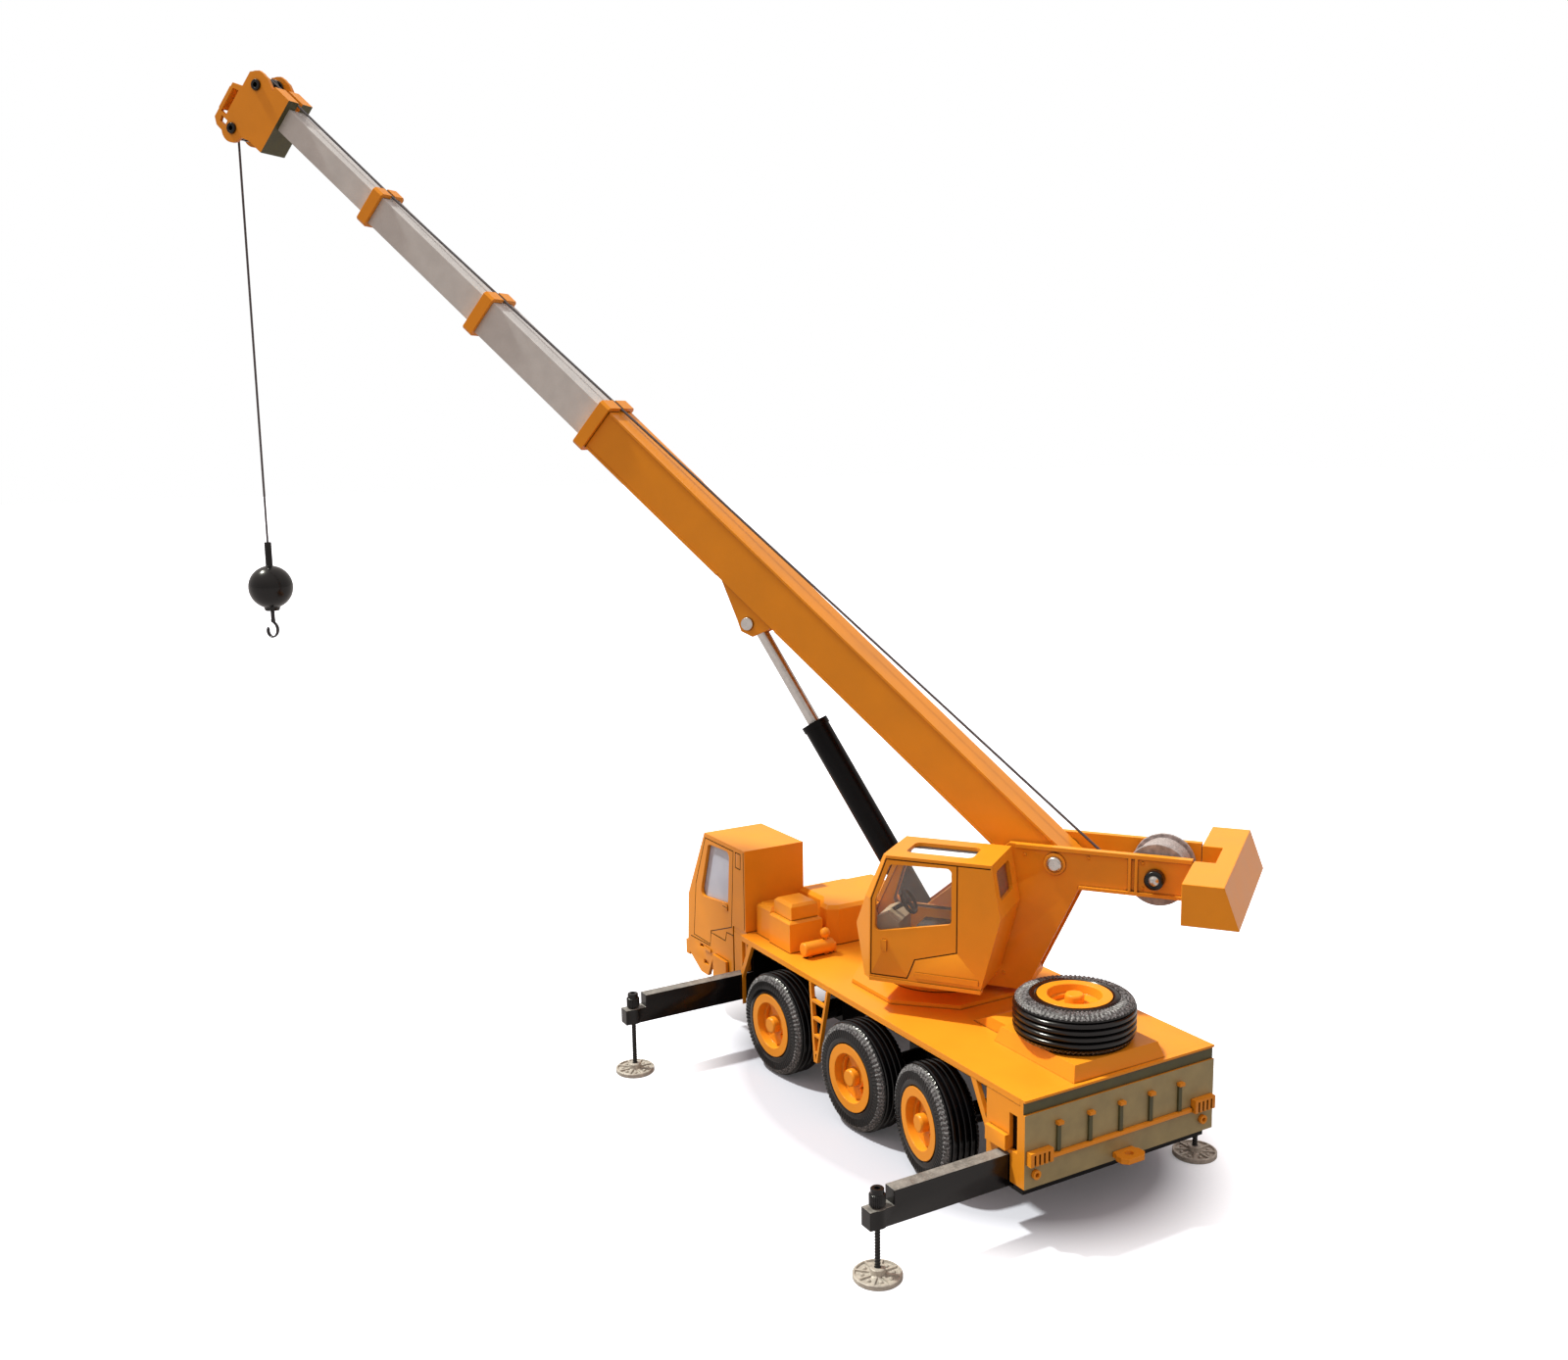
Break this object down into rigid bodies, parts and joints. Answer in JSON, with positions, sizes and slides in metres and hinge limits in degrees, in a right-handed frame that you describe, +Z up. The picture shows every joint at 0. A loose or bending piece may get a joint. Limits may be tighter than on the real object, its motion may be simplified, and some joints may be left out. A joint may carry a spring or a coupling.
{
  "type": "toy mobile crane",
  "caption": "die-cast toy truck crane with a raised telescopic boom, side cab, slewing crane cab, luffing cylinder, winch and hook, steering axles and slide-out outriggers",
  "frame": {"origin": "on the ground under the slewing axis", "axes": "+X to the carrier's front, +Y to its left side, +Z up; the crane stands turned 36.5 degrees to the left with its boom raised 41.3 degrees"},
  "size_m": [0.2293, 0.1798, 0.2488],
  "materials": {
    "enamel": "glossy yellow-orange enamel",
    "silver_enamel": "silver grey enamel",
    "black_enamel": "satin black enamel",
    "black_plastic": "glossy black moulded plastic",
    "tyre": "semi-gloss black soft plastic tyre",
    "steel": "bare bright steel",
    "glass": "clear moulded glazing",
    "seat": "beige moulded plastic",
    "rope": "fine grey thread"
  },
  "bodies": {
    "carrier": {"carrier_deck": "enamel", "underframe": "black_enamel", "rear_panel": "enamel", "tow_hitch": "enamel", "engine_cover": "enamel", "equipment_boxes": "enamel", "drive_cab": "enamel", "drive_cab_interior": "black_plastic", "drive_cab_glazing": "glass", "spare_tyre": "tyre", "spare_rim": "enamel", "slew_ring": "enamel"},
    "axle_front": {"axle_carrier_front": "black_plastic"},
    "wheels_front": {"axle_and_rims_front": "enamel", "tyres_front": "tyre"},
    "axle_middle": {"axle_carrier_middle": "black_plastic"},
    "wheels_middle": {"axle_and_rims_middle": "enamel", "tyres_middle": "tyre"},
    "axle_rear": {"axle_carrier_rear": "black_plastic"},
    "wheels_rear": {"axle_and_rims_rear": "enamel", "tyres_rear": "tyre"},
    "outrigger_rear_left": {"outrigger_beam_rear_left": "black_plastic"},
    "pad_rear_left": {"foot_pad_rear_left": "silver_enamel"},
    "screw_rear_left": {"jack_screw_rear_left": "black_plastic"},
    "outrigger_rear_right": {"outrigger_beam_rear_right": "black_plastic"},
    "pad_rear_right": {"foot_pad_rear_right": "silver_enamel"},
    "screw_rear_right": {"jack_screw_rear_right": "black_plastic"},
    "outrigger_front_left": {"outrigger_beam_front_left": "black_plastic"},
    "pad_front_left": {"foot_pad_front_left": "silver_enamel"},
    "screw_front_left": {"jack_screw_front_left": "black_plastic"},
    "outrigger_front_right": {"outrigger_beam_front_right": "black_plastic"},
    "pad_front_right": {"foot_pad_front_right": "silver_enamel"},
    "screw_front_right": {"jack_screw_front_right": "black_plastic"},
    "crane": {"turntable_frame": "enamel", "counterweight": "enamel", "crane_cab": "enamel", "crane_cab_interior": "seat", "crane_cab_glazing": "glass", "boom_pivot_pin": "steel"},
    "winch": {"winch_drum": "black_plastic", "winch_knobs": "black_plastic", "rope_winding": "rope"},
    "boom": {"boom_base": "enamel", "boom_collar_1": "enamel", "hoist_rope_lead": "rope", "hoist_rope_run": "rope"},
    "section_2": {"boom_section_2": "silver_enamel", "boom_collar_2": "enamel"},
    "section_3": {"boom_section_3": "silver_enamel", "boom_collar_3": "enamel"},
    "tip": {"boom_tip": "silver_enamel", "boom_head": "enamel", "head_pins": "black_plastic"},
    "upper_sheave": {"sheave_upper": "black_plastic"},
    "lower_sheave": {"sheave_lower": "black_plastic"},
    "cylinder_rod": {"cylinder_rod": "steel"},
    "cylinder_barrel": {"cylinder_barrel": "black_enamel"},
    "rope_drop": {"hoist_rope_drop": "rope"},
    "hook_block": {"hook_ball": "black_plastic"},
    "hook": {"hook": "steel"}
  },
  "joints": [
    {"name": "steer_front", "type": "hinge", "parent": "carrier", "child": "axle_front", "pos_m": [0.0342, 0, 0.0126], "axis": [0, 0, 1], "range_deg": [-9.5, 2.5]},
    {"name": "roll_front", "type": "hinge", "parent": "axle_front", "child": "wheels_front", "pos_m": [0.0342, 0, 0.0126], "axis": [-0.061, 0.9981, 0], "continuous": true},
    {"name": "steer_middle", "type": "hinge", "parent": "carrier", "child": "axle_middle", "pos_m": [-0.002, 0, 0.0126], "axis": [0, 0, 1], "range_deg": [-5.5, 0.5]},
    {"name": "roll_middle", "type": "hinge", "parent": "axle_middle", "child": "wheels_middle", "pos_m": [-0.002, 0, 0.0126], "axis": [-0.0436, 0.999, 0], "continuous": true},
    {"name": "steer_rear", "type": "hinge", "parent": "carrier", "child": "axle_rear", "pos_m": [-0.0333, 0, 0.0126], "axis": [0, 0, 1], "range_deg": [0, 16]},
    {"name": "roll_rear", "type": "hinge", "parent": "axle_rear", "child": "wheels_rear", "pos_m": [-0.0333, 0, 0.0126], "axis": [0.1392, 0.9903, 0], "continuous": true},
    {"name": "beam_rear_left", "type": "slide", "parent": "carrier", "child": "outrigger_rear_left", "axis": [0, 1, 0], "range_m": [-0.0242, 0]},
    {"name": "jack_rear_left", "type": "slide", "parent": "outrigger_rear_left", "child": "pad_rear_left", "axis": [0, 0, 1], "range_m": [0, 0.0055]},
    {"name": "thread_rear_left", "type": "hinge", "parent": "pad_rear_left", "child": "screw_rear_left", "pos_m": [-0.0558, 0.0547, 0.002], "axis": [0, 0, 1], "continuous": true},
    {"name": "beam_rear_right", "type": "slide", "parent": "carrier", "child": "outrigger_rear_right", "axis": [0, -1, 0], "range_m": [0, 0.0242]},
    {"name": "jack_rear_right", "type": "slide", "parent": "outrigger_rear_right", "child": "pad_rear_right", "axis": [0, 0, 1], "range_m": [0, 0.0055]},
    {"name": "thread_rear_right", "type": "hinge", "parent": "pad_rear_right", "child": "screw_rear_right", "pos_m": [-0.0522, -0.0305, 0.002], "axis": [0, 0, 1], "continuous": true},
    {"name": "beam_front_left", "type": "slide", "parent": "carrier", "child": "outrigger_front_left", "axis": [0, 1, 0], "range_m": [-0.0242, 0]},
    {"name": "jack_front_left", "type": "slide", "parent": "outrigger_front_left", "child": "pad_front_left", "axis": [0, 0, 1], "range_m": [0, 0.0055]},
    {"name": "thread_front_left", "type": "hinge", "parent": "pad_front_left", "child": "screw_front_left", "pos_m": [0.0522, 0.0547, 0.002], "axis": [0, 0, 1], "continuous": true},
    {"name": "beam_front_right", "type": "slide", "parent": "carrier", "child": "outrigger_front_right", "axis": [0, -1, 0], "range_m": [0, 0.0242]},
    {"name": "jack_front_right", "type": "slide", "parent": "outrigger_front_right", "child": "pad_front_right", "axis": [0, 0, 1], "range_m": [0, 0.0055]},
    {"name": "thread_front_right", "type": "hinge", "parent": "pad_front_right", "child": "screw_front_right", "pos_m": [0.0558, -0.0305, 0.002], "axis": [0, 0, 1], "continuous": true},
    {"name": "slew", "type": "hinge", "parent": "carrier", "child": "crane", "pos_m": [0, 0, 0.032], "axis": [0, 0, 1], "continuous": true},
    {"name": "winch_turn", "type": "hinge", "parent": "crane", "child": "winch", "pos_m": [-0.04043, -0.02992, 0.0614], "axis": [-0.5948, 0.8039, 0], "continuous": true},
    {"name": "luff", "type": "hinge", "parent": "crane", "child": "boom", "pos_m": [-0.02307, -0.01707, 0.0624], "axis": [0.5948, -0.8039, 0], "range_deg": [-41.3, 12], "deforming": ["hoist_rope_lead"]},
    {"name": "extend_2", "type": "slide", "parent": "boom", "child": "section_2", "axis": [0.6039, 0.4469, 0.66], "range_m": [-0.038, 0.05], "deforming": ["hoist_rope_run"]},
    {"name": "extend_3", "type": "slide", "parent": "section_2", "child": "section_3", "axis": [0.6039, 0.4469, 0.66], "range_m": [-0.038, 0.05]},
    {"name": "extend_tip", "type": "slide", "parent": "section_3", "child": "tip", "axis": [0.6039, 0.4469, 0.66], "range_m": [-0.032, 0.048]},
    {"name": "turn_upper_sheave", "type": "hinge", "parent": "tip", "child": "upper_sheave", "pos_m": [0.14479, 0.10714, 0.24532], "axis": [-0.5948, 0.8039, 0], "continuous": true},
    {"name": "turn_lower_sheave", "type": "hinge", "parent": "tip", "child": "lower_sheave", "pos_m": [0.15197, 0.11245, 0.2356], "axis": [-0.5948, 0.8039, 0], "continuous": true},
    {"name": "rod_swing", "type": "hinge", "parent": "boom", "child": "cylinder_rod", "pos_m": [0.0363, 0.02686, 0.11211], "axis": [0.5948, -0.8039, 0], "range_deg": [-6, 3]},
    {"name": "barrel_slide", "type": "slide", "parent": "cylinder_rod", "child": "cylinder_barrel", "axis": [-0.4241, -0.3138, -0.8495], "range_m": [-0.0275, 0.0095]},
    {"name": "rope_plumb", "type": "hinge", "parent": "tip", "child": "rope_drop", "pos_m": [0.15197, 0.11245, 0.2356], "axis": [0.5948, -0.8039, 0], "range_deg": [-15, 45]},
    {"name": "hoist", "type": "slide", "parent": "rope_drop", "child": "hook_block", "axis": [0, 0, 1], "range_m": [0, 0.085], "deforming": ["hoist_rope_drop"]},
    {"name": "hook_swivel", "type": "hinge", "parent": "hook_block", "child": "hook", "pos_m": [0.15362, 0.11367, 0.1098], "axis": [0, 0, 1], "continuous": true}
  ],
  "couplings": [
    {"joint": "thread_rear_left", "follows": "jack_rear_left", "rad_per_m": -4188.8},
    {"joint": "thread_rear_right", "follows": "jack_rear_right", "rad_per_m": -4188.8},
    {"joint": "thread_front_left", "follows": "jack_front_left", "rad_per_m": -4188.8},
    {"joint": "thread_front_right", "follows": "jack_front_right", "rad_per_m": -4188.8},
    {"joint": "rod_swing", "follows": "luff", "ratio": 0.1},
    {"joint": "barrel_slide", "follows": "luff", "m_per_rad": 0.03475},
    {"joint": "rope_plumb", "follows": "luff", "ratio": -1},
    {"joint": "winch_turn", "follows": "hoist", "rad_per_m": 157.48}
  ]
}
